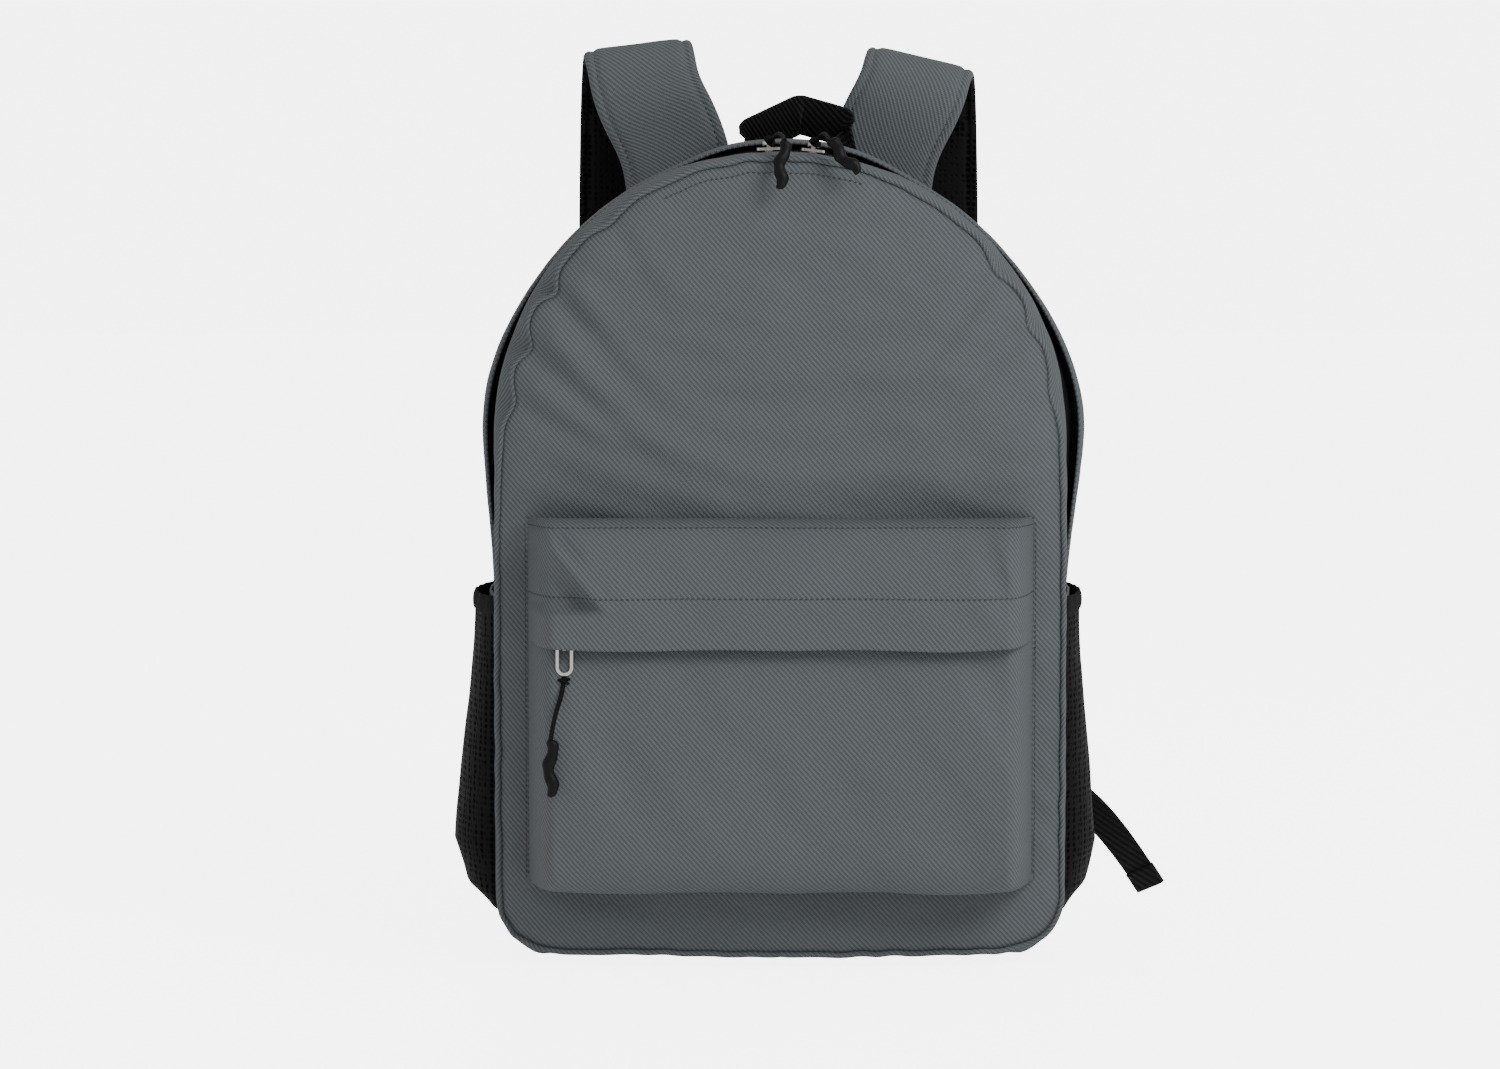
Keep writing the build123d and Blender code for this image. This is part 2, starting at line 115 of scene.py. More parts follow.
def newMaterial(name, shaderSettings, flat=False):
    material = bpy.data.materials.new(name)
    material.use_nodes = True
    tree = material.node_tree
    shader = tree.nodes["Principled BSDF"]
    for key, value in shaderSettings.items():
        shader.inputs[key].default_value = value
    place = addNode(tree, "ShaderNodeTexCoord", {}, {}).outputs["UV" if flat else "Object"]
    return material, tree, shader, place


# Twill: diagonal ribs with crossing yarns, pitches and bump depth in mm, under a fine grain
twillValues = {
    "light": "#5e6265",
    "dark": "#34383b",
    "ribPitch": 2.0,
    "yarnPitch": 0.9,
    "yarnShare": 0.5,
    "grainShare": 0.8,
    "roughness": (0.72, 0.6),
    "bump": 0.5,
    "bumpDepth": 0.25,
}
# Directions on cloth laid flat by its UV layer (True) and on a solid in object space (False)
ribDirection = {True: (0.75, 0.66, 0), False: (0.75, 0.3, 0.66)}
yarnDirection = {True: (0.62, -0.78, 0), False: (0.62, 0.3, -0.78)}


def stripes(tree, place, direction, pitch):
    dot = addNode(tree, "ShaderNodeVectorMath", {"operation": "DOT_PRODUCT"}, {"0": place})
    dot.inputs[1].default_value = [d * 2 * math.pi / (pitch * mm) for d in direction]
    wave = addNode(tree, "ShaderNodeMath", {"operation": "SINE"}, {"0": dot.outputs["Value"]})
    return wave.outputs[0]


# Roughness follows the tone, and the bump follows the height
def finishSurface(tree, shader, tone, height, values):
    roughRange = {"To Min": values["roughness"][0], "To Max": values["roughness"][1]}
    rough = addNode(tree, "ShaderNodeMapRange", roughRange, {"Value": tone})
    relief = {"Strength": values["bump"], "Distance": values["bumpDepth"] * mm}
    bump = addNode(tree, "ShaderNodeBump", relief, {"Height": height})
    tree.links.new(rough.outputs[0], shader.inputs["Roughness"])
    tree.links.new(bump.outputs[0], shader.inputs["Normal"])


def finishWeave(tree, shader, tone, height, values):
    colour = addNode(tree, "ShaderNodeMix", {"data_type": "RGBA"}, {"0": tone})
    colour.inputs[6].default_value = linear(values["dark"])
    colour.inputs[7].default_value = linear(values["light"])
    tree.links.new(colour.outputs[2], shader.inputs["Base Color"])
    finishSurface(tree, shader, tone, height, values)


def twillMaterial(name, values, flat=True):
    material, tree, shader, place = newMaterial(name, {"Specular IOR Level": 0.12}, flat)
    rib = stripes(tree, place, ribDirection[flat], values["ribPitch"])
    yarn = stripes(tree, place, yarnDirection[flat], values["yarnPitch"])
    grain = addNode(tree, "ShaderNodeTexNoise", {"Scale": 900.0, "Detail": 2.0}, {"Vector": place})
    multiplyAdd = {"operation": "MULTIPLY_ADD"}
    both = addNode(tree, "ShaderNodeMath", multiplyAdd, {"0": yarn, "2": rib})
    both.inputs[1].default_value = values["yarnShare"]
    weave = addNode(tree, "ShaderNodeMath", multiplyAdd, {"0": grain.outputs[0], "2": both.outputs[0]})
    weave.inputs[1].default_value = values["grainShare"]
    height = weave.outputs[0]
    tone = addNode(tree, "ShaderNodeMapRange", {"From Min": -1.6, "From Max": 2.2}, {"Value": height})
    finishWeave(tree, shader, tone.outputs[0], height, values)
    return material


# Spacer mesh: dark holes in a knitted face, cell and bump depth in mm
meshValues = {
    "light": "#0e0d0d",
    "dark": "#020202",
    "cell": 3.2,
    "roughness": (0.95, 0.6),
    "bump": 0.9,
    "bumpDepth": 0.9,
}


def knitMaterial(name, values):
    material, tree, shader, place = newMaterial(name, {"Specular IOR Level": 0.06})
    cellSettings = {"Scale": 1 / (values["cell"] * mm), "Randomness": 0.25}
    cells = addNode(tree, "ShaderNodeTexVoronoi", cellSettings, {"Vector": place})
    edgeRange = {"From Min": 0.2, "From Max": 0.5}
    edge = addNode(tree, "ShaderNodeMapRange", edgeRange, {"Value": cells.outputs["Distance"]})
    finishWeave(tree, shader, edge.outputs[0], edge.outputs[0], values)
    return material


# Woven tape, webbing and braid: ribs across the run, in the direction given, pitch in mm
def ribMaterial(name, light, dark, direction, pitch, roughness):
    material, tree, shader, place = newMaterial(name, {"Specular IOR Level": 0.14})
    rib = stripes(tree, place, direction, pitch)
    grain = addNode(tree, "ShaderNodeTexNoise", {"Scale": 1400.0}, {"Vector": place})
    mixed = addNode(tree, "ShaderNodeMath", {"operation": "ADD"}, {"0": rib, "1": grain.outputs[0]})
    height = mixed.outputs[0]
    tone = addNode(tree, "ShaderNodeMapRange", {"From Min": -0.6, "From Max": 1.6}, {"Value": height})
    values = {
        "light": light,
        "dark": dark,
        "roughness": (roughness + 0.1, roughness - 0.05),
        "bump": 0.6,
        "bumpDepth": 0.4,
    }
    finishWeave(tree, shader, tone.outputs[0], height, values)
    return material


# Plastics, rubber and nickel: a faint uneven finish from noise
def solidMaterial(name, code, roughness, metallic=0.0, scale=400.0, depth=0.05, gloss=0.5):
    settings = {"Base Color": linear(code), "Metallic": metallic, "Specular IOR Level": gloss}
    material, tree, shader, place = newMaterial(name, settings)
    grain = addNode(tree, "ShaderNodeTexNoise", {"Scale": scale, "Detail": 3.0}, {"Vector": place})
    values = {"roughness": (roughness - 0.06, roughness + 0.08), "bump": 0.3, "bumpDepth": depth}
    finishSurface(tree, shader, grain.outputs[0], grain.outputs[0], values)
    return material


greyTwill = twillMaterial("polyester_twill", twillValues)
solidTwill = twillMaterial("polyester_twill_edge", twillValues, False)
blackKnit = knitMaterial("spacer_mesh", meshValues)
blackTape = ribMaterial("zip_tape", "#121213", "#060606", (0, 1, 0), 1.2, 0.8)
blackWebbing = ribMaterial("polyester_webbing", "#151515", "#050505", (0.6, 0.4, 0.7), 1.8, 0.7)
blackBraid = ribMaterial("cord_braid", "#101011", "#040404", (0.5, 0.5, 0.7), 1.1, 0.7)
seamThread = solidMaterial("sewing_thread", "#15191b", 0.6)
nylonCoil = solidMaterial("nylon_coil", "#121213", 0.4)
acetal = solidMaterial("acetal", "#161617", 0.42)
rubber = solidMaterial("soft_rubber", "#050506", 0.5, 0.0, 900.0, 0.08, 0.15)
nickel = solidMaterial("nickel_plate", "#b8b3ad", 0.24, 1.0)
foamMaterial = solidMaterial("closed_cell_foam", "#2d2f31", 0.9, 0.0, 1500.0, 0.3)
print("materials made")


# Mesh helpers. A surface is a function of u and v, each from 0 to 1
def linkObject(name, data, material):
    made = bpy.data.objects.new(name, data)
    bpy.context.collection.objects.link(made)
    if material is not None:
        data.materials.append(material)
    return made


def applyModifiers(piece):
    depsgraph = bpy.context.evaluated_depsgraph_get()
    mesh = bpy.data.meshes.new_from_object(piece.evaluated_get(depsgraph))
    piece.modifiers.clear()
    piece.data = mesh
    return piece


# UV in metres: seen from the front, or measured along the surface's own rows and columns
def layFlat(mesh, points, width, rows, upright):
    grid = np.array([[*p] for p in points]).reshape(rows, width, 3)
    if upright:
        flat = grid[:, :, [0, 2]]
    else:
        across = np.linalg.norm(np.diff(grid, axis=1), axis=2).mean(axis=0)
        along = np.linalg.norm(np.diff(grid, axis=0), axis=2).mean(axis=1)
        flat = np.zeros((rows, width, 2))
        flat[:, :, 0] = np.concatenate([[0], np.cumsum(across)])[None, :]
        falling = -1 if grid[-1, :, 2].mean() < grid[0, :, 2].mean() else 1
        flat[:, :, 1] = falling * np.concatenate([[0], np.cumsum(along)])[:, None]
    layer = mesh.uv_layers.new(name="cloth")
    corners = np.zeros(len(mesh.loops), dtype=np.int32)
    mesh.loops.foreach_get("vertex_index", corners)
    layer.data.foreach_set("uv", flat.reshape(-1, 2)[corners].astype(np.float32).ravel())


def surface(name, shape, across, along, material, inside, thick=0.0, closed=False, upright=False):
    rows = along if closed else along + 1
    points = [shape(i / across, j / along) for j in range(rows) for i in range(across + 1)]
    width = across + 1
    faces = []
    for j in range(along):
        low, high = j * width, ((j + 1) % rows) * width
        faces += [(low + i, low + i + 1, high + i + 1, high + i) for i in range(across)]
    mesh = bpy.data.meshes.new(name)
    mesh.from_pydata(points, [], faces)
    mesh.update()
    layFlat(mesh, points, width, rows, upright)
    outward = sum((f.center - Vector(inside)).dot(f.normal) * f.area for f in mesh.polygons)
    if outward < 0:
        mesh.flip_normals()
    mesh.shade_smooth()
    piece = linkObject(name, mesh, material)
    if thick:
        solid = piece.modifiers.new("thickness", "SOLIDIFY")
        solid.thickness = thick
        solid.offset = -1
        applyModifiers(piece)
        piece.data.shade_smooth()
    return piece


def ribbon(name, centres, acrosses, width, thick, material):
    points, faces = [], []
    section = [(-0.5, -0.35), (-0.47, -0.5), (0.47, -0.5), (0.5, -0.35)]
    section += [(-a, -b) for a, b in section]
    count = len(section)
    for i, centre in enumerate(centres):
        run = centres[min(i + 1, len(centres) - 1)] - centres[max(i - 1, 0)]
        side = (acrosses[i] - acrosses[i].project(run)).normalized()
        up = run.cross(side).normalized()
        points += [centre + side * (a * width) + up * (b * thick) for a, b in section]
    for i in range(len(centres) - 1):
        for k in range(count):
            a, b = i * count + k, i * count + (k + 1) % count
            faces.append((a, b, b + count, a + count))
    last = (len(centres) - 1) * count
    faces.append(tuple(reversed(range(count))))
    faces.append(tuple(range(last, last + count)))
    mesh = bpy.data.meshes.new(name)
    mesh.from_pydata(points, [], faces)
    mesh.update()
    piece = linkObject(name, mesh, material)
    return outwardFaces(piece)


def outwardFaces(piece):
    work = bmesh.new()
    work.from_mesh(piece.data)
    bmesh.ops.recalc_face_normals(work, faces=work.faces)
    work.to_mesh(piece.data)
    work.free()
    for face in piece.data.polygons:
        face.use_smooth = len(face.vertices) == 4
    return piece


def curveThrough(name, points, kind="POLY", resolution=12):
    data = bpy.data.curves.new(name, "CURVE")
    data.dimensions = "3D"
    spline = data.splines.new(kind)
    spline.points.add(len(points) - 1)
    for spot, point in zip(spline.points, points):
        spot.co = (*point, 1)
    if kind == "NURBS":
        spline.order_u = 3
        spline.use_endpoint_u = True
        spline.resolution_u = resolution
    return data


def smoothLine(points, count):
    data = curveThrough("line", points, "NURBS")
    holder = bpy.data.objects.new("line", data)
    mesh = bpy.data.meshes.new_from_object(holder)
    line = [v.co.copy() for v in mesh.vertices]
    bpy.data.objects.remove(holder)
    bpy.data.meshes.remove(mesh)
    return evenPoints(line, count)


def evenPoints(line, count):
    steps = np.array([[*p] for p in line])
    lengths = np.concatenate([[0], np.cumsum(np.linalg.norm(np.diff(steps, axis=0), axis=1))])
    wanted = np.linspace(0, lengths[-1], count)
    return [Vector([np.interp(w, lengths, steps[:, k]) for k in range(3)]) for w in wanted]


# Rows of stitches or teeth: one small mesh set along a line at a fixed pitch
def rowNodes():
    group = bpy.data.node_groups.new("row_along_line", "GeometryNodeTree")
    face = group.interface
    face.new_socket("Line", in_out="INPUT", socket_type="NodeSocketGeometry")
    for label, kind in (("Pitch", "Float"), ("Piece", "Object"), ("Finish", "Material")):
        face.new_socket(label, in_out="INPUT", socket_type="NodeSocket" + kind)
    face.new_socket("Row", in_out="OUTPUT", socket_type="NodeSocketGeometry")
    start = addNode(group, "NodeGroupInput", {}, {})
    run = {"Curve": start.outputs["Line"], "Length": start.outputs["Pitch"]}
    evenly = addNode(group, "GeometryNodeResampleCurve", {"mode": "LENGTH"}, run)
    tangent = addNode(group, "GeometryNodeInputTangent", {}, {})
    turn = addNode(group, "FunctionNodeAlignEulerToVector", {"axis": "X"}, {"Vector": tangent.outputs[0]})
    shape = addNode(group, "GeometryNodeObjectInfo", {}, {"Object": start.outputs["Piece"]})
    links = {"Points": evenly.outputs[0], "Instance": shape.outputs["Geometry"], "Rotation": turn.outputs[0]}
    placed = addNode(group, "GeometryNodeInstanceOnPoints", {}, links)
    real = addNode(group, "GeometryNodeRealizeInstances", {}, {"Geometry": placed.outputs[0]})
    finish = {"Geometry": real.outputs[0], "Material": start.outputs["Finish"]}
    painted = addNode(group, "GeometryNodeSetMaterial", {}, finish)
    addNode(group, "NodeGroupOutput", {}, {"Row": painted.outputs[0]})
    return group


rowGroup = rowNodes()


# A rounded pill of eight sides with a point at each end
def smallPiece(name, size):
    mesh = bpy.data.meshes.new(name)
    x, y, z = (s / 2 for s in size)
    ring = [(0.0, 1.0), (0.7, 0.7), (1.0, 0.0), (0.7, -0.7)]
    ring += [(-a, -b) for a, b in ring]
    rims = [(x * t, y * a * s, z * b * s) for t, s in ((-0.7, 0.8), (0.7, 0.8)) for a, b in ring]
    points = [(-x, 0, 0)] + rims + [(x, 0, 0)]
    faces = [(0, 1 + (k + 1) % 8, 1 + k) for k in range(8)]
    faces += [(1 + k, 1 + (k + 1) % 8, 9 + (k + 1) % 8, 9 + k) for k in range(8)]
    faces += [(17, 9 + k, 9 + (k + 1) % 8) for k in range(8)]
    mesh.from_pydata(points, [], faces)
    mesh.shade_smooth()
    return bpy.data.objects.new(name, mesh)


stitchPiece = smallPiece("stitch_form", (1.7 * mm, 0.55 * mm, 0.5 * mm))
toothPiece = smallPiece("tooth_form", (0.8 * mm, 2.0 * mm, 2.2 * mm))


def rowAlong(name, line, pitch, form, material):
    holder = linkObject(name + "_line", curveThrough(name, line), None)
    nodes = holder.modifiers.new("row", "NODES")
    nodes.node_group = rowGroup
    sockets = {s.name: s.identifier for s in rowGroup.interface.items_tree if s.in_out == "INPUT"}
    nodes[sockets["Pitch"]] = pitch
    nodes[sockets["Piece"]] = form
    nodes[sockets["Finish"]] = material
    bpy.context.view_layer.update()
    depsgraph = bpy.context.evaluated_depsgraph_get()
    mesh = bpy.data.meshes.new_from_object(holder.evaluated_get(depsgraph))
    bpy.data.objects.remove(holder)
    row = linkObject(name, mesh, None)
    if not mesh.materials:
        mesh.materials.append(material)
    return row


# Smooth repeatable unevenness of fabric, about 1 either way
def waves(x, y, z, size, seed=0.0):
    return noise.noise(Vector((x / size + seed, y / size - seed, z / size + 2 * seed)))


def smooth(t):
    t = min(max(t, 0.0), 1.0)
    return t * t * (3 - 2 * t)


def bell(*spots):
    return math.exp(-sum(t**2 for t in spots))


def crownY(x):
    return frontApex + x * x / (2 * crownRadius)


# The arch outline: distance along it from the bottom centre, going right, up and over
bottomRun = halfWidth - cornerRadius
cornerRun = cornerRadius * math.pi / 2
sideRun = archZ - cornerRadius
archRun = halfWidth * math.pi
outlineLength = 2 * (bottomRun + cornerRun + sideRun) + archRun


def outline(distance):
    s = distance % outlineLength
    mirror = 1
    if s > outlineLength / 2:
        s, mirror = outlineLength - s, -1
    if s < bottomRun:
        x, z, nx, nz = s, 0.0, 0.0, -1.0
    elif s < bottomRun + cornerRun:
        a = (s - bottomRun) / cornerRadius
        nx, nz = math.sin(a), -math.cos(a)
        x, z = bottomRun + cornerRadius * nx, cornerRadius + cornerRadius * nz
    elif s < bottomRun + cornerRun + sideRun:
        x, z, nx, nz = halfWidth, cornerRadius + s - bottomRun - cornerRun, 1.0, 0.0
    else:
        a = (s - bottomRun - cornerRun - sideRun) / halfWidth
        nx, nz = math.cos(a), math.sin(a)
        x, z = halfWidth * nx, archZ + halfWidth * nz
    return mirror * x, z, mirror * nx, nz


zipStart = bottomRun + cornerRun + zipBottom - cornerRadius
zipEnd = outlineLength - zipStart

# Shell, in mm. Lips are how far a strip stands out at its front edge, middle and rear edge
bodyValues = {
    "pucker": 0.8,
    "puckerPitch": 23.0,
    "frontLift": 7.0,
    "ridge": 1.6,
    "edgeRoll": 9.0,
    "puckerReach": 16.0,
    "broadFolds": 4.6,
    "fineFolds": 1.8,
    "frontLips": (0.0, 1.6, 0.8),
    "rearLips": (1.5, 2.5, 0.4),
    "lowerLips": (0.0, 6.0, 0.4),
    "leftSwell": 8.0,
    "rightSwell": 12.0,
    "topGap": 5.0,
}


def pucker(distance, seed):
    drift = 5 * waves(distance, 0, 0, 0.05, seed)
    swing = math.sin(2 * math.pi * distance / (bodyValues["puckerPitch"] * mm) + drift)
    strength = 0.35 + max(0.0, waves(distance, 0, 0, 0.09, seed + 7))
    return bodyValues["pucker"] * mm * swing * strength


# Kinks where the seam is drawn in: angle round the arch in degrees, depth and half length in mm,
# then the direction in degrees and the reach in mm of the fold that runs from it
seamKinks = [
    (147, 6.5, 8, -50, 50), (160, 8.0, 9, -42, 60), (172, 5.5, 12, -30, 45), (128, 3.0, 10, -60, 40),
    (38, 5.0, 10, -128, 45), (24, 4.0, 9, -140, 50), (9, 3.5, 12, -150, 40),
]
# A fold's valley and the bank beside it, in mm apart from the two shares
foldValues = {
    "start": 143.0,
    "fadeIn": 9.0,
    "share": 0.62,
    "valley": 7.0,
    "bankShare": 0.6,
    "bankAway": 11.0,
    "bank": 8.0,
}


def kinkDistance(angle):
    return bottomRun + cornerRun + sideRun + math.radians(angle) * halfWidth


def seamInset(distance):
    s = distance % outlineLength
    drawn = sum(
        depth * bell((s - kinkDistance(angle)) / (length * mm))
        for angle, depth, length, fall, reach in seamKinks
    )
    high = smooth((outline(distance)[1] - 200 * mm) / (120 * mm))
    return (1.0 + 2.5 * high + drawn) * mm


def kinkFolds(x, z):
    values = foldValues
    start = values["start"] * mm
    depth = 0.0
    for angle, deep, length, fall, reach in seamKinks:
        a, b = math.radians(angle), math.radians(fall)
        dx, dz = x - start * math.cos(a), z - archZ - start * math.sin(a)
        along = dx * math.cos(b) + dz * math.sin(b)
        off = (dz * math.cos(b) - dx * math.sin(b)) / mm
        fade = smooth(along / (values["fadeIn"] * mm)) * bell(max(along, 0) / (reach * mm))
        bank = values["bankShare"] * bell((off - values["bankAway"]) / values["bank"])
        depth += values["share"] * deep * fade * (bell(off / values["valley"]) - bank)
    return depth * mm


def seamPoint(distance, outwards=0.0, backwards=0.0):
    x, z, nx, nz = outline(distance)
    wander = 1.2 * mm * waves(distance, 0, 0, 0.06, 3.0)
    shift = outwards + 0.7 * pucker(distance, 1.0) + wander - seamInset(distance)
    inward = smooth((halfWidth + 25 * mm - abs(x)) / (60 * mm))
    lift = bodyValues["frontLift"] * mm * smooth(1 - z / (30 * mm)) * inward
    return x + nx * shift, crownY(x) + 3.2 * mm + backwards, max(z + nz * shift, 0.0) + lift


panelCentre = (0.0, 232 * mm)


def panelPoint(u, v):
    ex, _, ez = seamPoint(v * outlineLength, -0.6 * mm)
    t = 1 - u * 0.985
    x = panelCentre[0] + t * (ex - panelCentre[0])
    z = panelCentre[1] + t * (ez - panelCentre[1])
    gap = (1 - t) * math.hypot(ex - panelCentre[0], ez - panelCentre[1])
    roll = math.exp(-gap / (bodyValues["edgeRoll"] * mm))
    y = crownY(x) + 3.4 * mm * roll
    puckerFade = math.exp(-gap / (bodyValues["puckerReach"] * mm))
    y -= pucker(v * outlineLength, 2.0) * puckerFade * (1 - roll**2)
    folds = bodyValues["broadFolds"] * waves(x, 0, z, 0.085, 1.0)
    folds += bodyValues["fineFolds"] * waves(x + z, 0, 2 * z, 0.036, 4.0)
    y -= folds * mm * (1 - roll)
    y += kinkFolds(x, z) * (1 - roll)
    return x, y, z


# Outward bulge of the rear strip beside the zip, fullest above the side pockets
def sideSwell(x, z):
    full = bodyValues["rightSwell"] if x > 0 else bodyValues["leftSwell"]
    nearTop = smooth((z - 380 * mm) / (20 * mm))
    crest = bodyValues["topGap"] * math.exp(-(((x - 6 * mm) / (52 * mm)) ** 4)) * nearTop
    return (full * bell((z - 288 * mm) / (66 * mm)) + crest) * mm


def stripOffset(t, lips, distance, y):
    start, bulge, end = lips
    swell = math.sin(math.pi * t) ** 0.8 * bulge + start * (1 - t) ** 2 + end * t**2
    crease = 0.8 * waves(distance, y, 0, 0.032, 5.0) + 0.5 * waves(distance, 3 * y, 0, 0.014, 8.0)
    return (swell + crease * math.sin(math.pi * t)) * mm


def stripPoint(distance, t, front, back, lips):
    x, z, nx, nz = outline(distance)
    y = front + t * (back - front)
    shift = stripOffset(t, lips, distance, y)
    return x + nx * shift, y, max(z + nz * shift, 0.3 * mm)


# Draws a strip's point to the wandering seam, fully where hold is 1
def heldToSeam(point, distance, seam, hold):
    x, y, z = point
    edgeX, edgeZ = outline(distance)[:2]
    return x + hold * (seam[0] - edgeX), y, z + hold * (seam[2] - edgeZ)


def frontStrip(u, v):
    distance = zipStart + v * (zipEnd - zipStart)
    seam = seamPoint(distance, 0.2 * mm, 1.2 * mm)
    x, y, z = stripPoint(distance, u, seam[1], zipY - tapeWidth * 0.55, bodyValues["frontLips"])
    nx, nz = outline(distance)[2:]
    sag = 0.45 * sideSwell(x, z) * smooth((z - 380 * mm) / (20 * mm)) * u
    return heldToSeam((x - nx * sag, y, z - nz * sag), distance, seam, (1 - u) ** 2)


def rearStrip(u, v):
    distance = zipStart + v * (zipEnd - zipStart)
    x, y, z = stripPoint(distance, u, zipY + tapeWidth * 0.55, backY - 1 * mm, bodyValues["rearLips"])
    nx, nz = outline(distance)[2:]
    rounded = 0.55 + 0.45 * math.sin(math.pi * min(u * 2.6 + 0.12, 1))
    more = sideSwell(x, z) * rounded * (1 - u) ** 0.8
    return x + nx * more, y, z + nz * more


def lowerStrip(u, v):
    distance = zipEnd + v * (outlineLength - zipEnd + zipStart)
    seam = seamPoint(distance, 0.2 * mm, 1.2 * mm)
    point = stripPoint(distance, u, seam[1], backY - 1 * mm, bodyValues["lowerLips"])
    return heldToSeam(point, distance, seam, (1 - u) ** 6)


middle = (0.0, 0.0, 0.2)


def bendsWithLid(piece):
    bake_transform(piece)
    return piece


frontPanel = surface("front_panel", panelPoint, 70, 420, greyTwill, middle, 1.8 * mm, True, True)
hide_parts("front_panel_upper", "front_panel_lower")
bendsWithLid(frontPanel)
frontGusset = surface("front_gusset", frontStrip, 22, 420, greyTwill, middle, 1.4 * mm)
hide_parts("front_gusset_upper", "front_gusset_lower")
bendsWithLid(frontGusset)
rearGusset = surface("rear_gusset_cover", rearStrip, 30, 420, greyTwill, middle, 1.4 * mm)
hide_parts("rear_gusset")
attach(rearGusset, rootBody)
lowerGusset = surface("lower_gusset_cover", lowerStrip, 44, 360, greyTwill, middle, 1.4 * mm)
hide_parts("bottom_panel", "side_panel_left", "side_panel_right")
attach(lowerGusset, rootBody)
print("body shell made")


# Seam ridges: the sewn edge where two panels meet
def ridge(name, centre, radius, count, material):
    def shape(u, v):
        x, y, z = centre(v * outlineLength)
        nx, nz = outline(v * outlineLength)[2:]
        a = 2 * math.pi * u
        return x + nx * radius * math.cos(a), y + radius * 1.15 * math.sin(a), z + nz * radius * math.cos(a)

    return surface(name, shape, 10, count, material, middle, 0.0, True)


def frontSeam(distance):
    return seamPoint(distance, 0.3 * mm, 0.2 * mm)


frontRidge = ridge("front_seam_ridge", frontSeam, bodyValues["ridge"] * mm, 520, greyTwill)
bendsWithLid(frontRidge)


def backSeam(distance):
    x, z, nx, nz = outline(distance)
    return x + nx * 0.4 * mm, backY, max(z + nz * 0.4 * mm, 2.0 * mm)


backRidge = ridge("back_seam_ridge", backSeam, 1.8 * mm, 420, greyTwill)
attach(backRidge, rootBody)


# Main zip: a fabric tape on each side and two rows of small teeth along the arch
def zipLine(y, lift, count=520):
    line = []
    for i in range(count + 1):
        x, z, nx, nz = outline(zipStart + i * (zipEnd - zipStart) / count)
        line.append(Vector((x + nx * lift, y, z + nz * lift)))
    return line


def tapeShape(front, back, spread=0.0):
    def shape(u, v):
        x, z, nx, nz = outline(zipStart + v * (zipEnd - zipStart))
        lift = sideSwell(x, z) * spread * u - 1.1 * mm
        return x + nx * lift, front + u * (back - front), z + nz * lift

    return shape


# How far each row of teeth and each tape's inner edge stand from the zip's middle, and the pitch
coilShift, tapeGap, toothPitch = 1.5 * mm, 0.9 * mm, 1.5 * mm


def zipSide(label, tapeForm, y):
    tape = surface(label + "_zip_tape", tapeForm, 4, 300, blackTape, middle, 0.6 * mm)
    line = zipLine(y, -0.6 * mm)
    return tape, rowAlong(label + "_zip_teeth", line, toothPitch, toothPiece, nylonCoil)


frontForm = tapeShape(zipY - tapeWidth, zipY - tapeGap)
frontTape, frontTeeth = zipSide("front", frontForm, zipY - coilShift)
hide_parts("zip_tape_front", "zip_tape_front_lower")
bendsWithLid(frontTape)
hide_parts("zip_coil_front", "zip_coil_front_lower")
bendsWithLid(frontTeeth)
rearForm = tapeShape(zipY + tapeGap, zipY + tapeWidth, 0.55)
rearTape, rearTeeth = zipSide("rear", rearForm, zipY + coilShift)
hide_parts("zip_tape_rear")
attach(rearTape, rootBody)
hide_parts("zip_coil_rear")
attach(rearTeeth, rootBody)
print("main zip made")


# Front pocket. Wrinkles in mm: a crease slants down from the upper left corner with small pleats
# beside it, the upper right corner is gathered, and both lower corners hang slack
hoodLow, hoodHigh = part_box("pocket_hood")
pocketHalf = (hoodHigh[0] - hoodLow[0]) / 2
pocketValues = {
    "sideRound": 16.0,
    "zipHeight": 177.0,
    "broadFolds": 2.6,
    "fineFolds": 1.1,
    "creaseCorner": (-126.0, 236.0),
    "creaseRun": (0.656, -0.755),
    "creaseLength": 64.0,
    "creaseEnd": 190.0,
    "creaseDepth": 9.0,
    "creaseLip": 2.4,
    "pleat": 0.8,
    "gather": 2.2,
    "gatherSpot": (118.0, 212.0),
    "slack": 2.2,
    "slackSpot": (100.0, 120.0),
}


# Share of the full forward swell at x: rounded off at the sides
def swellAt(x):
    rounding = pocketValues["sideRound"]
    return max(1 - (max(abs(x) - pocketHalf + rounding * mm, 0.0) / ((rounding + 0.5) * mm)) ** 2, 0.0)


def pocketBase(x, side):
    return crownY(x) + (frontApex - crownY(x)) * side - 1.2 * mm


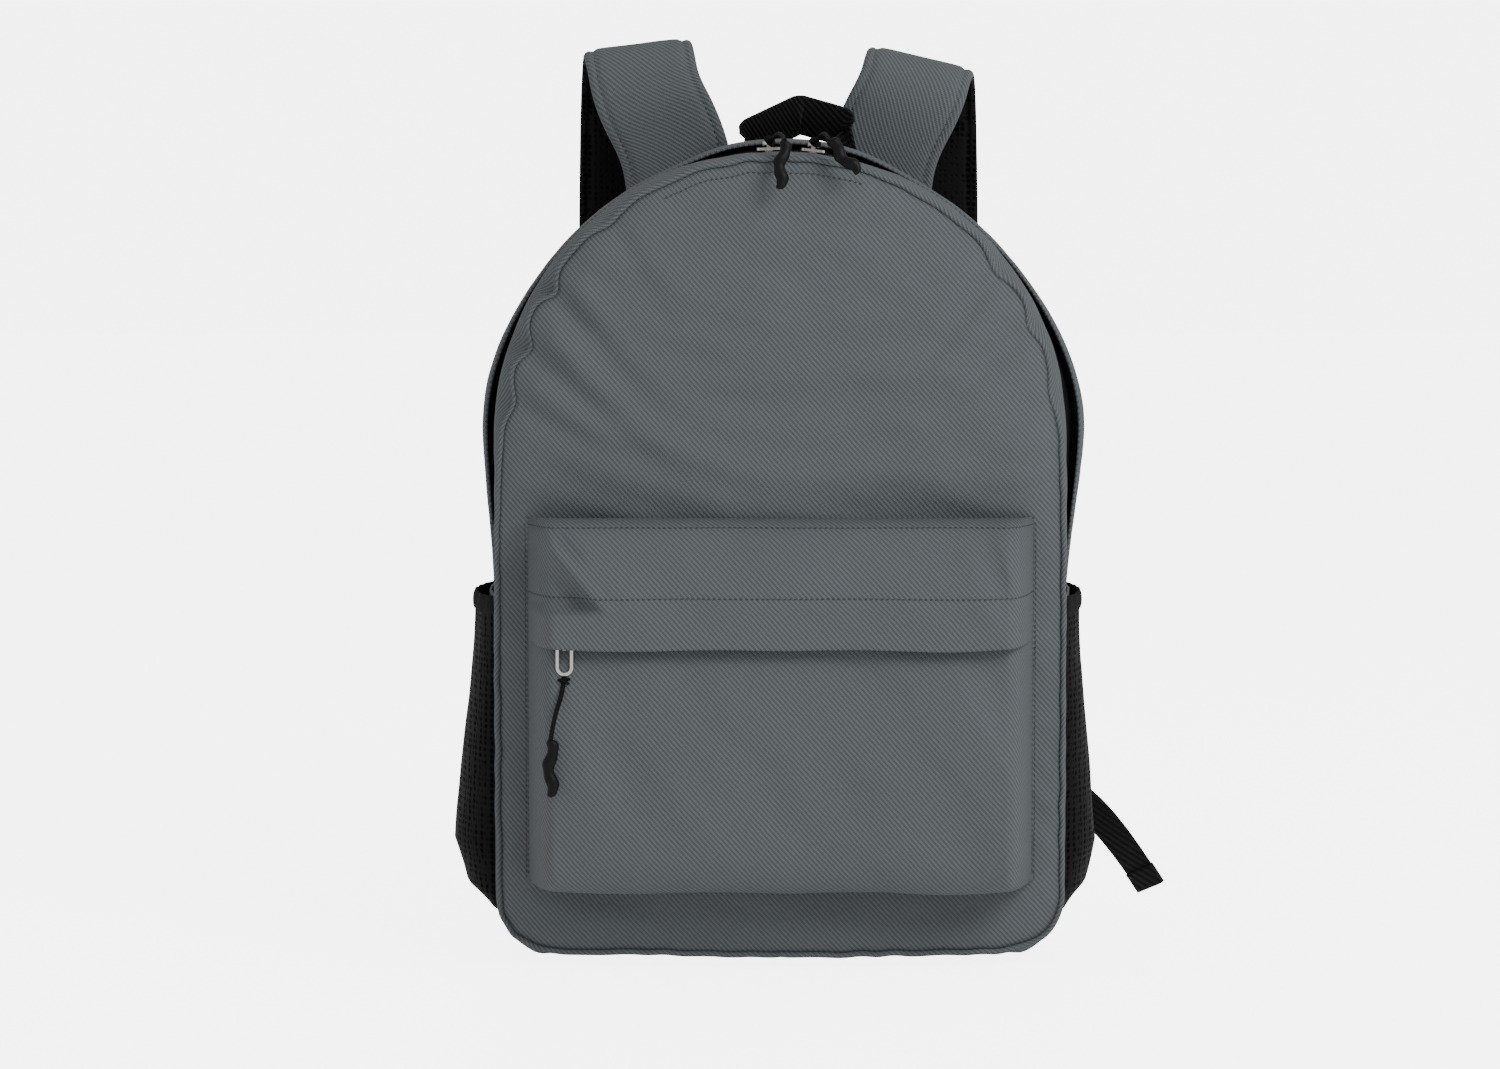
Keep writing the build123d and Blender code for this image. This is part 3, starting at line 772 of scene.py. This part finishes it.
def pocketWrinkle(x, z, depth):
    values = pocketValues
    across, up = x / mm, z / mm
    # Calm near the zip, where the slider and its grip pass
    depth *= min(1.0, 0.3 + abs(up - values["zipHeight"]) / 20)
    folds = values["broadFolds"] * waves(x, 0, z, 0.06, 11.0)
    folds += values["fineFolds"] * waves(x + 0.7 * z, 0, 0.6 * z, 0.024, 13.0)
    dx, dz = across - values["creaseCorner"][0], up - values["creaseCorner"][1]
    runX, runZ = values["creaseRun"]
    beside, below = dx * runZ - dz * runX, dx * runX + dz * runZ
    near = smooth(below / 6) * smooth((values["creaseLength"] - below) / 10)
    near *= smooth((up - values["creaseEnd"]) / 6)
    hollow = values["creaseDepth"] * smooth(beside / 13) * smooth((46 - beside) / 20)
    folds -= near * (hollow - values["creaseLip"] * bell(beside / 2.6))
    pleats = bell((beside + 7) / 5.5) * smooth(below / 12) * smooth((38 - below) / 16)
    folds += values["pleat"] * pleats * math.sin(beside * 2.0)
    gatherX, gatherZ = values["gatherSpot"]
    gathered = bell((across - gatherX) / 18, (up - gatherZ) / 26)
    folds += values["gather"] * gathered * math.sin((across * 0.9 + up * 0.43) / 4.5)
    slackX, slackZ = values["slackSpot"]
    slack = bell((abs(across) - slackX) / 35, (up - slackZ) / 60)
    folds += values["slack"] * slack * math.sin((across * 0.8 + up * 0.4) / 9)
    # Folds that stand outwards are held back, so that the grip clears them
    return min(folds, 0.8 + 0.2 * folds) * mm * depth


# A profile is a list of (v, forward in mm, height in mm); the lower edge waves by hemWave
def pocketSurface(profile, hemWave):
    spots, forwards, heights = zip(*profile)
    sweep = math.pi * 0.985

    def shape(u, v):
        x = pocketHalf * math.sin((u - 0.5) * sweep) / math.sin(sweep / 2)
        forward = np.interp(v, spots, forwards) * mm
        z = np.interp(v, spots, heights) * mm
        side = swellAt(x)
        wrinkle = pocketWrinkle(x, z, side * min(1, forward / (14 * mm)))
        y = pocketBase(x, side) - forward * side - wrinkle
        droop = waves(x, 0, 0, 0.06, 17.0) * v**3 + 0.9 * abs(x / pocketHalf) ** 5 * v**4
        z += hemWave * droop * mm
        return x, y, z

    return shape


def profileFrom(points, count=60):
    line = evenPoints(smoothLine([Vector((0, p[0], p[1])) for p in points], 60), count)
    return [(i / (count - 1), p.y, p.z) for i, p in enumerate(line)]


hoodProfile = profileFrom([
    (0, 239), (4, 240), (16, 236), (25, 222), (30, 208), (32, 195), (32.5, 186), (33.5, 173),
])
bagProfile = profileFrom([
    (25, 181), (26.5, 172), (29, 152), (32, 126), (33.5, 98),
    (33.5, 74), (32, 56), (25, 45), (10, 43), (0, 47),
])
hoodShape = pocketSurface(hoodProfile, 1.6)
hood = surface("pocket_hood_and_flap", hoodShape, 160, 70, greyTwill, middle, 1.3 * mm)
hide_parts("pocket_hood", "pocket_flap")
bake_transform(hood)
bag = surface("pocket_bag_cover", pocketSurface(bagProfile, 3.0), 170, 110, greyTwill, middle, 1.3 * mm)
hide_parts("pocket_bag", "pocket_ends")
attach(bag, rootBody)
print("front pocket made")


# Back: a panel, a padded mesh face with sewn channels, a yoke and two strap wings
backValues = {
    "channel": 46.0,
    "channelDepth": 2.2,
    "crossSeam": 205.0,
    "edge": 9.0,
    "padInset": 14.0,
    "padDepth": 4.2,
    "wingInner": 13.0,
    "wingOuter": 12.0,
}


def backPanelShape(u, v):
    x, z, nx, nz = outline(v * outlineLength)
    t = 1 - u * 0.99
    x, z = x * t, 0.2 + (max(z, 2.2 * mm) - 0.2) * t
    return x, backY - 0.2 * mm + 0.5 * mm * waves(x, 0, z, 0.05, 51.0) * (1 - t), z


def padShape(inset, top, depth):
    def shape(u, v):
        x, z, nx, nz = outline(v * outlineLength)
        x, z = x - nx * inset, min(z - nz * inset, top)
        t = 1 - u * 0.99
        x, z = x * t, 0.2 + (z - 0.2) * t
        rim = smooth((1 - t) * 150 / backValues["edge"])
        pitch = backValues["channel"]
        groove = abs(math.sin(math.pi * (x / mm + pitch / 2) / pitch)) ** 0.35
        cross = min(abs(z - backValues["crossSeam"] * mm) / (5 * mm), 1.0) ** 0.5
        fill = depth - backValues["channelDepth"] * mm * (1 - min(groove, cross))
        return x, backY + 0.2 * mm + fill * rim + 0.3 * mm * waves(x, 0, z, 0.04, 53.0) * rim, z

    return shape


backPanel = surface("back_panel_cover", backPanelShape, 30, 300, greyTwill, middle, 0.0, True)
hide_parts("back_panel", "back_foam")
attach(backPanel, rootBody)
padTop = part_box("back_mesh")[1][2]
padCover = padShape(backValues["padInset"] * mm, padTop, backValues["padDepth"] * mm)
backPad = surface("back_pad_cover", padCover, 90, 300, blackKnit, middle, 0.0, True)
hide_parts("back_mesh")
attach(backPad, rootBody)


def clothPatch(name, node, corners, lift):
    def shape(u, v):
        a, b, c, d = [Vector(p) for p in corners]
        spot = a.lerp(b, u).lerp(d.lerp(c, u), v)
        rounded = 1 - max(abs(2 * u - 1), abs(2 * v - 1)) ** 6
        height = 0.9 * rounded + 0.35 * waves(spot.x, 0, spot.z, 0.02, 57.0)
        return spot.x, lift + height * mm, spot.z

    patch = surface(name, shape, 40, 24, greyTwill, middle, 1.4 * mm)
    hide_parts(node)
    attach(patch, rootBody)
    wide, tall = np.linspace(0, 1, 30), np.linspace(0, 1, 20)
    border = [shape(0.06 + 0.88 * t, 0.1) for t in wide] + [shape(0.94, 0.1 + 0.8 * t) for t in tall]
    border += [shape(0.94 - 0.88 * t, 0.9) for t in wide] + [shape(0.06, 0.9 - 0.8 * t) for t in tall]
    raised = [Vector(p) + Vector((0, 0.3 * mm, 0)) for p in border]
    row = rowAlong(name + "_stitch", raised, 3 * mm, stitchPiece, seamThread)
    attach(row, rootBody)


(yokeLeft, _, yokeFoot), (yokeRight, yokeFace, yokeTop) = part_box("strap_yoke")
yokeCorners = [
    (yokeLeft, 0, yokeFoot),
    (yokeRight, 0, yokeFoot),
    (yokeRight - 4 * mm, 0, yokeTop),
    (yokeLeft + 4 * mm, 0, yokeTop),
]
clothPatch("strap_yoke_patch", "strap_yoke", yokeCorners, yokeFace - 0.8 * mm)
for label, side in sides:
    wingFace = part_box("strap_wing_" + label)[1][1]
    inner = side * (halfWidth - backValues["wingInner"] * mm)
    outer = side * (halfWidth + backValues["wingOuter"] * mm)
    corners = [(inner, 0, 22 * mm), (outer, 0, 40 * mm), (outer, 0, 64 * mm), (inner, 0, 86 * mm)]
    clothPatch("strap_wing_patch_" + label, "strap_wing_" + label, corners, wingFace - 0.9 * mm)
print("back made")


# Side pockets: knitted mesh with a bound upper edge. The profile is the share of the full reach
# at each share of the height, and the left one stands out further
sidePocketValues = {
    "heights": [0, 0.06, 0.2, 0.45, 0.8, 1.04],
    "shares": [0.25, 0.75, 1.0, 0.86, 0.6, 0.5],
    "leftReach": 1.25,
    "binding": 10.0,
}


def sidePocket(label, side):
    low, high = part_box("side_pocket_" + label)
    reach = (high[0] - low[0]) * (sidePocketValues["leftReach"] if side < 0 else 1.0)
    wall = side * halfWidth + side * 0.3 * mm
    middleY, halfY = (low[1] + high[1]) / 2, (high[1] - low[1]) / 2

    def swell(z, y):
        t = (z - low[2]) / (high[2] - low[2])
        height = np.interp(t, sidePocketValues["heights"], sidePocketValues["shares"]) * reach
        pleats = 0.6 * mm * math.sin(y / (1.9 * mm)) * smooth((t - 0.8) * 5)
        gather = 1.0 * mm * waves(y, 0, z, 0.03, 31.0 + side) + pleats
        return (height + gather) * max(1 - ((y - middleY) / halfY) ** 2, 0.0) ** 0.7

    def bagShape(u, v):
        y = middleY + (2 * u - 1) * halfY
        z = low[2] + v * (high[2] - low[2])
        return wall + side * swell(z, y), y, z

    def bandShape(u, v):
        y = middleY + (2 * u - 1) * (halfY + 0.5 * mm)
        z = high[2] - 6 * mm + v * sidePocketValues["binding"] * mm
        rounded = 0.9 * mm * math.sin(math.pi * v) ** 0.5 if 0 < v < 1 else 0
        return wall + side * (swell(z, y) + 0.5 * mm + rounded), y, z

    skin = surface("mesh_pocket_" + label, bagShape, 60, 90, blackKnit, (0, 0, 0.11), 1.1 * mm)
    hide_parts("side_pocket_" + label)
    band = surface("pocket_binding_" + label, bandShape, 60, 8, blackTape, (0, 0, 0.19), 1.3 * mm)
    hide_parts("side_binding_" + label)
    for piece in (skin, band):
        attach(piece, rootBody)


for label, side in sides:
    sidePocket(label, side)
print("side pockets made")


# Shoulder straps: padded run from the yoke, over the crest and down to the buckle
strapValues = {
    "width": 60,
    "thick": 10.5,
    "baseX": 55,
    "crestX": 77,
    "lean": {"left": 0.12, "right": -0.24},
    "topShift": {"left": 5, "right": -2},
    "stitchInset": 5,
    "stitchLift": 3.3,
}


def strapPath(label, side):
    low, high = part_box("strap_fabric_" + label)
    baseX, crestX = strapValues["baseX"] * mm, strapValues["crestX"] * mm
    riserY, backRun = low[1] + 4.5 * mm, high[1] - 5.5 * mm
    top = high[2] + strapValues["topShift"][label] * mm
    points = [
        (baseX - 1 * mm, riserY + 0.5 * mm, 405 * mm),
        (baseX, riserY + 0.5 * mm, 420 * mm),
        (baseX + 6 * mm, riserY, 440 * mm),
        (crestX - 4 * mm, riserY - 1 * mm, 462 * mm),
        (crestX, riserY + 6 * mm, top),
        (crestX + 2 * mm, backRun - 12 * mm, top + 1 * mm),
        (crestX + 4 * mm, backRun + 1 * mm, top - 26 * mm),
        (crestX + 5 * mm, backRun + 1 * mm, 400 * mm),
        (crestX + 6 * mm, backRun - 3 * mm, 290 * mm),
        (crestX + 6 * mm, backRun - 8 * mm, 200 * mm),
        (crestX + 6 * mm, backRun - 12 * mm, low[2]),
    ]
    return evenPoints(smoothLine([Vector((side * x, y, z)) for x, y, z in points], 200), 140)


def strapSection(line, i, lean):
    run = (line[min(i + 1, len(line) - 1)] - line[max(i - 1, 0)]).normalized()
    side = (Vector((1, 0, lean)) - Vector((1, 0, lean)).project(run)).normalized()
    return side, side.cross(run).normalized()


def strapShape(line, lean, first, last, puff):
    half, thick = strapValues["width"] / 2 * mm, strapValues["thick"] / 2 * mm

    def shape(u, v):
        i = round(v * (len(line) - 1))
        side, up = strapSection(line, i, lean)
        a = first + u * (last - first)
        c, s = math.cos(a), math.sin(a)
        across = half * math.copysign(abs(c) ** 0.35, c)
        ends = min(1.0, 0.45 + 5 * min(v, 1 - v))
        body = thick * ends * math.copysign(abs(s) ** 0.6, s)
        crease = 0.5 * mm * waves(*(line[i] + side * across), 0.03, 41.0) * puff
        inset = strapValues["stitchInset"] * mm
        stitched = 1 - 0.25 * bell((abs(across) - half + inset) / (1.6 * mm))
        return line[i] + side * across + up * (body * stitched + crease)

    return shape


def strapStitch(line, lean, edge):
    reach = strapValues["width"] / 2 - strapValues["stitchInset"]
    row = []
    for i in range(4, len(line) - 4):
        side, up = strapSection(line, i, lean)
        row.append(line[i] + side * edge * reach * mm + up * strapValues["stitchLift"] * mm)
    return row


def strapSkin(name, line, lean, first, last, puff, material, sign):
    skin = surface(name, strapShape(line, lean, first, last, puff), 40, 139, material, line[100])
    # Turned so that the cover faces outwards from the strap's middle and the lining the other way
    up = strapSection(line, 100, lean)[1] * sign
    face = min(skin.data.polygons, key=lambda f: (f.center - (line[100] + up * 5 * mm)).length)
    if face.normal.dot(up) < 0:
        skin.data.flip_normals()
    return skin


def makeStrap(label, side):
    body = "strap_" + label
    line = strapPath(label, side)
    lean = strapValues["lean"][label]
    outer = strapSkin("strap_cover_" + label, line, lean, 0.0, math.pi, 1.0, greyTwill, 1)
    inner = strapSkin("strap_lining_" + label, line, lean, math.pi, 2 * math.pi, 0.6, blackKnit, -1)
    for edge, edgeName in ((-1, "in"), (1, "out")):
        seam = strapStitch(line, lean, edge)
        row = rowAlong(f"strap_stitch_{label}_{edgeName}", seam, 3.4 * mm, stitchPiece, seamThread)
        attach(row, body)
    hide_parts("strap_fabric_" + label, "strap_foam_" + label)
    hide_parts("strap_mesh_" + label)
    for piece in (outer, inner):
        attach(piece, body)


for label, side in sides:
    makeStrap(label, side)
print("straps made")


# Grab handle: webbing bent like a tent and sewn down at both ends
handleLow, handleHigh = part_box("grab_handle")
handleValues = {
    "width": 24,
    "thick": 1.7,
    "slope": (0, 0.5, -0.87),
    "steps": (0.03, 0.08, 0.15, 0.3, 0.5, 0.7, 0.85, 0.92, 0.97),
}


def makeHandle(values):
    midY = (handleLow[1] + handleHigh[1]) / 2
    seat = handleLow[2] + 0.4 * mm
    peak = handleHigh[2] - 4 * mm
    corners = [
        (-17 * mm, seat - 4 * mm),
        (-15.5 * mm, seat + 7 * mm),
        (11 * mm, peak),
        (34 * mm, seat + 13 * mm),
        (38 * mm, seat - 4 * mm),
    ]
    line = []
    for (ax, az), (bx, bz) in zip(corners, corners[1:]):
        line += [Vector((ax + (bx - ax) * t, midY, az + (bz - az) * t)) for t in values["steps"]]
    line = evenPoints(smoothLine(line, 120), 120)
    acrosses = [Vector(values["slope"])] * len(line)
    width, thick = values["width"] * mm, values["thick"] * mm
    handle = ribbon("grab_handle_webbing", line, acrosses, width, thick, blackWebbing)
    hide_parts("grab_handle")
    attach(handle, "handle")


makeHandle(handleValues)


# Webbing tails below the ladder locks: flat free cords that follow a given route
tailRoutes = {
    "right": [
        (80.0, 100.4, 139.6), (94.0, 103.4, 121.6), (130.0, 98.4, 92.0),
        (170.0, 88.4, 68.0), (194.0, 84.4, 42.0), (210.0, 84.4, 17.0),
    ],
    "left": [
        (-80.0, 100.4, 139.6), (-83.0, 102.4, 117.6), (-94.0, 104.4, 90.0),
        (-104.0, 106.4, 58.0), (-110.0, 108.4, 20.0),
    ],
}
tailWidth, webbingThick = 20 * mm, 1.5 * mm


def makeTail(label, twist):
    route = [Vector(p) * mm for p in tailRoutes[label]]
    line = smoothLine(route, 90)
    last = len(line) - 1
    acrosses = []
    for i in range(len(line)):
        run = line[min(i + 1, last)] - line[max(i - 1, 0)]
        flat = Vector((0, 1, 0)).cross(run).normalized()
        turn = twist * smooth(i / last)
        acrosses.append(flat * math.cos(turn) + Vector((0, 1, 0)) * math.sin(turn))
    name = "webbing_tail_" + label + "_strip"
    piece = ribbon(name, line, acrosses, tailWidth, webbingThick, blackWebbing)
    hemWidth, hemThick = tailWidth * 1.02, 3.6 * mm
    hem = ribbon("tail_hem_" + label, line[-7:], acrosses[-7:], hemWidth, hemThick, blackWebbing)
    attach(piece, "strap_" + label)
    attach(hem, "strap_" + label)
    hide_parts("webbing_tail_" + label)


makeTail("right", 0.75)
makeTail("left", 0.3)


# Cord pulls: a knot at the wire ring, one round cord and a waved rubber grip, routes in mm
pullRoutes = {
    "main_left": [
        (-6.2, -44.35, 434.61), (-2.51, -55.35, 438.5), (0.36, -69.35, 439.5), (2.0, -82.35, 435.5),
    ],
    "main_right": [
        (17.56, -44.35, 433.74), (20.91, -55.35, 438.5), (23.51, -69.35, 439.5), (25.0, -82.35, 435.5),
    ],
    "pocket": [
        (-112.0, -106.62, 159.4), (-113.0, -109.62, 150.6), (-117.0, -116.5, 139.6), (-119.0, -117.0, 126.6),
    ],
}
gripTips = {
    "main_left": (-1.0, -89.35, 410.5),
    "main_right": (40.0, -89.35, 418.5),
    "pocket": (-119.0, -117.0, 97.6),
}
pullValues = {"cord": 2.4, "grip": 5.6, "knot": 4.6}


def gripShape(start, end, width, seed):
    along = end - start
    side = along.cross(Vector((0, 1, 0))).normalized()
    up = side.cross(along).normalized()

    def shape(u, v):
        a = 2 * math.pi * u
        capped = math.sqrt(max(1 - (2 * v - 1) ** 8, 0.0))
        waved = 1 + 0.13 * math.sin(2 * math.pi * 3 * v + seed)
        sway = side * width * 0.22 * math.sin(2 * math.pi * v * 1.5)
        around = side * math.cos(a) * 1.15 + up * math.sin(a) * 0.85
        return start + along * v + sway + around * width / 2 * capped * waved

    return shape


def makePull(name, body, cordNode, gripNode):
    route = [Vector(p) * mm for p in pullRoutes[name]]
    line = smoothLine(route, 60)
    data = curveThrough(name + "_cord", route, "NURBS", 10)
    data.bevel_depth = pullValues["cord"] / 2 * mm
    data.bevel_resolution = 4
    data.use_fill_caps = True
    cord = linkObject(name + "_cord", data, blackBraid)
    end = Vector(gripTips[name]) * mm
    # The grip's mouth swallows the last 1.5 mm of cord
    mouth = line[-1] + (line[-1] - line[-3]).normalized() * -1.5 * mm
    gripForm = gripShape(mouth, end, pullValues["grip"] * mm, 0.6)
    grip = surface(name + "_grip", gripForm, 24, 48, rubber, (line[-1] + end) / 2)
    knotForm = gripShape(line[1], line[7], pullValues["knot"] * mm, 2.0)
    knot = surface(name + "_knot", knotForm, 16, 12, blackBraid, line[4])
    for piece in (cord, grip, knot):
        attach(piece, body)
    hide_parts(cordNode)
    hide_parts(gripNode)


makePull("main_left", "pull_left", "main_cord_left", "main_grip_left")
makePull("main_right", "pull_right", "main_cord_right", "main_grip_right")
makePull("pocket", "pocket_pull", "pocket_cord", "pocket_grip")
print("cords made")


# Lower webbing from each wing to its ladder lock
def makeLowerWebbing(label, side):
    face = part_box("lower_webbing_" + label)[1][1]
    root = Vector((side * (halfWidth + 8 * mm), backY + 4.4 * mm, 52 * mm))
    foot = Vector((side * 80 * mm, face - 0.5 * mm, 132 * mm))
    lower = root.lerp(foot, 0.35) + Vector((0, 3 * mm, -5 * mm))
    upper = root.lerp(foot, 0.7) + Vector((0, 2 * mm, -5 * mm))
    line = smoothLine([root, lower, upper, foot], 50)
    flat = (foot - root).cross(Vector((0, 1, 0))).normalized()
    name = "lower_webbing_strip_" + label
    piece = ribbon(name, line, [flat] * len(line), tailWidth, webbingThick, blackWebbing)
    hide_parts("lower_webbing_" + label)
    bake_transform(piece)


for label, side in sides:
    makeLowerWebbing(label, side)


# Stitch lines, each a little proud of its fabric
stitchPitch = 2.8 * mm


def stitchOn(name, shape, spots, body, lift=0.45):
    line = [Vector(shape(u, v)) + Vector((0, -lift * mm, 0)) for u, v in spots]
    row = rowAlong(name, evenPoints(line, 400), stitchPitch, stitchPiece, seamThread)
    if body:
        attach(row, body)
    return row


across = [0.02 + 0.96 * i / 240 for i in range(241)]
stitchOn("hood_top_stitch", hoodShape, [(u, 0.19) for u in across], rootBody)
stitchOn("flap_stitch", hoodShape, [(u, 0.675) for u in across], rootBody)


# The pocket's sides are sewn down to the panel just outside its swell
def pocketSeam(side, height):
    x = side * (pocketHalf + 1.5 * mm)
    return x, pocketBase(x, 0), height


for label, side in sides:
    seamSpots = [(side, (48 + 187 * i / 120) * mm) for i in range(121)]
    stitchOn("pocket_side_stitch_" + label, pocketSeam, seamSpots, rootBody, 0.7)
topSpots = [(0.034, 0.508 + 0.085 * (i / 120 - 0.5)) for i in range(121)]
topStitch = stitchOn("top_seam_stitch", panelPoint, topSpots, None)
bendsWithLid(topStitch)
print("stitches made")


# CAD pieces that stay keep their own shape and get the finished materials
plainFinishes = {
    "nickel": nickel, "coil_plastic": nylonCoil, "buckle_plastic": acetal, "black_textile": blackTape,
    "black_webbing": blackWebbing, "foam": foamMaterial, "grey_fabric": solidTwill, "black_mesh": blackKnit,
}
slots = {s["node"]: s["material_slot"] for s in frame["record"]["subparts"]}
for nodeName, node in frame["nodes"].items():
    finish = plainFinishes.get(slots.get(nodeName))
    if finish is not None:
        node.data.materials.clear()
        node.data.materials.append(finish)
print("frame finished")


# Floor and soft studio light
stageValues = {
    "floor": "#fbfbfb",
    "glow": 5.0,
    "floorLight": 0.3,
    "backdrop": 5.6,
    "world": 0.78,
    "aim": (0, 0, 0.22),
    "lights": {"key": ((1.5, -1.7, 1.9), 1.2, 60.0), "fill": ((-1.9, -1.2, 1.0), 1.6, 4.0)},
}


# A strength that is low for the light on the pack and high where the camera sees the surface
def seenStrength(tree, low, high):
    seen = addNode(tree, "ShaderNodeLightPath", {}, {}).outputs["Is Camera Ray"]
    return addNode(tree, "ShaderNodeMapRange", {"To Min": low, "To Max": high}, {"Value": seen}).outputs[0]


def makeStage(values):
    floorMesh = bpy.data.meshes.new("floor")
    floorMesh.from_pydata([(-6, -4, 0), (6, -4, 0), (6, 8, 0), (-6, 8, 0)], [], [(0, 1, 2, 3)])
    floorMaterial = solidMaterial("white_floor", values["floor"], 0.35, 0.0, 3.0, 0.0)
    floor = linkObject("floor", floorMesh, floorMaterial)
    tree = floorMaterial.node_tree
    shader = tree.nodes["Principled BSDF"]
    shader.inputs["Emission Color"].default_value = (1, 1, 1, 1)
    glow = seenStrength(tree, values["floorLight"], values["glow"])
    tree.links.new(glow, shader.inputs["Emission Strength"])
    world = bpy.data.worlds.new("studio")
    world.use_nodes = True
    strength = seenStrength(world.node_tree, values["world"], values["backdrop"])
    background = world.node_tree.nodes["Background"]
    background.inputs["Color"].default_value = (1, 1, 1, 1)
    world.node_tree.links.new(strength, background.inputs["Strength"])
    bpy.context.scene.world = world
    for name, (spot, size, power) in values["lights"].items():
        data = bpy.data.lights.new(name, "AREA")
        data.energy, data.size = power, size
        lamp = bpy.data.objects.new(name, data)
        lamp.location = spot
        lamp.rotation_euler = (Vector(values["aim"]) - Vector(spot)).to_track_quat("-Z", "Y").to_euler()
        bpy.context.collection.objects.link(lamp)


makeStage(stageValues)
